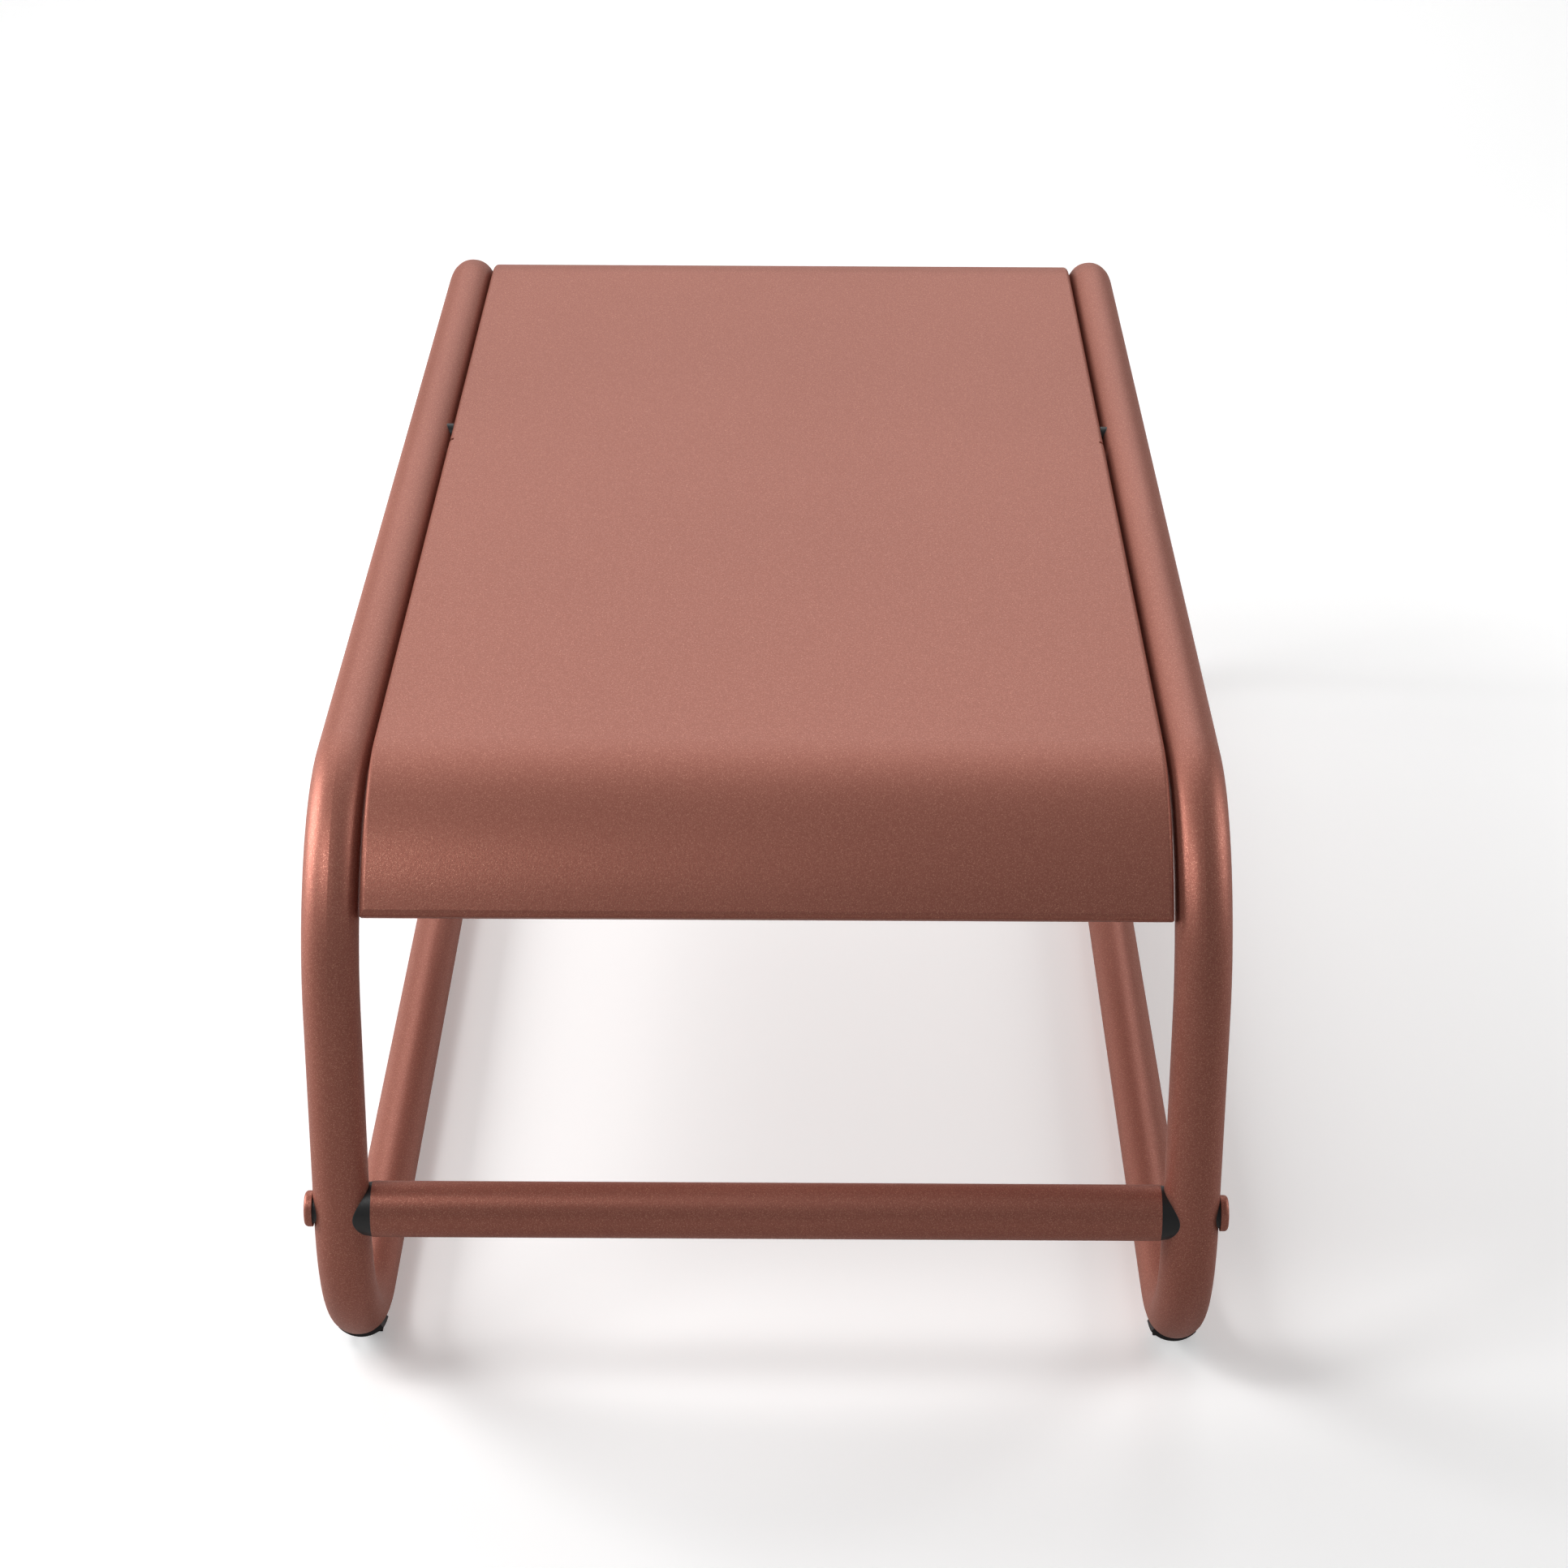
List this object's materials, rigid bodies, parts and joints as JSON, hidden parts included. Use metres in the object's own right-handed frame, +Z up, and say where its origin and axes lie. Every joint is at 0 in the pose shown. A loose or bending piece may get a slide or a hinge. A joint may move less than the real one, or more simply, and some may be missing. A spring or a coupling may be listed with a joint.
{
  "type": "reclining sun lounger",
  "caption": "Sun lounger of bent round steel tube with a rolled-edge sheet-metal bed whose back part tilts up on a notched prop stay.",
  "frame": {"origin": "on the floor, under the middle of the lounger", "axes": "+X to the right as seen from the foot end, +Y towards the head end, +Z up"},
  "size_m": [0.6888, 1.496, 0.502],
  "materials": {
    "loop_paint": "satin fine-texture metallic powder coat",
    "bed_paint": "satin fine-texture metallic powder coat",
    "black_plastic": "matte moulded",
    "steel": "zinc plated",
    "brass": "turned",
    "rubber": "matte"
  },
  "bodies": {
    "frame": {"side_loop_left": "loop_paint", "side_loop_right": "loop_paint", "front_cross_tube": "loop_paint", "rear_cross_tube": "loop_paint", "cap_bolts": "loop_paint", "front_bearer": "loop_paint", "middle_bearer": "loop_paint", "hinge_bearer": "loop_paint", "head_bearer": "loop_paint", "seat_pan": "bed_paint", "seat_edge_rib": "bed_paint", "saddle_front_left": "black_plastic", "saddle_front_right": "black_plastic", "saddle_rear_left": "black_plastic", "saddle_rear_right": "black_plastic", "cap_washers": "black_plastic", "hinge_spacers": "black_plastic", "glide_front_left": "black_plastic", "glide_front_right": "black_plastic", "glide_rear_left": "black_plastic", "glide_rear_right": "black_plastic", "cross_tube_inserts": "steel", "seat_blocks": "steel", "seat_screws": "steel", "hinge_bolts": "steel", "rack_left": "steel", "rack_right": "steel", "rack_screws": "steel", "glide_screws": "steel", "hinge_inserts": "brass", "head_pads": "rubber"},
    "backrest": {"back_pan": "bed_paint", "back_edge_rib": "bed_paint", "hinge_plate_left": "steel", "hinge_plate_right": "steel", "hinge_bushes": "black_plastic", "stay_bracket_left": "steel", "stay_bracket_right": "steel", "stay_pins": "steel"},
    "stay": {"stay_frame": "steel", "stay_sleeves": "black_plastic"}
  },
  "joints": [
    {"name": "recline", "type": "hinge", "parent": "frame", "child": "backrest", "pos_m": [0, 0.125, 0.4855], "axis": [1, 0, 0], "range_deg": [0, 60]},
    {"name": "stay_swing", "type": "hinge", "parent": "backrest", "child": "stay", "pos_m": [0, 0.32424, 0.46807], "axis": [-1, 0, 0], "range_deg": [0, 120]}
  ],
  "couplings": [
    {"joint": "stay_swing", "follows": "recline", "ratio": 2}
  ]
}
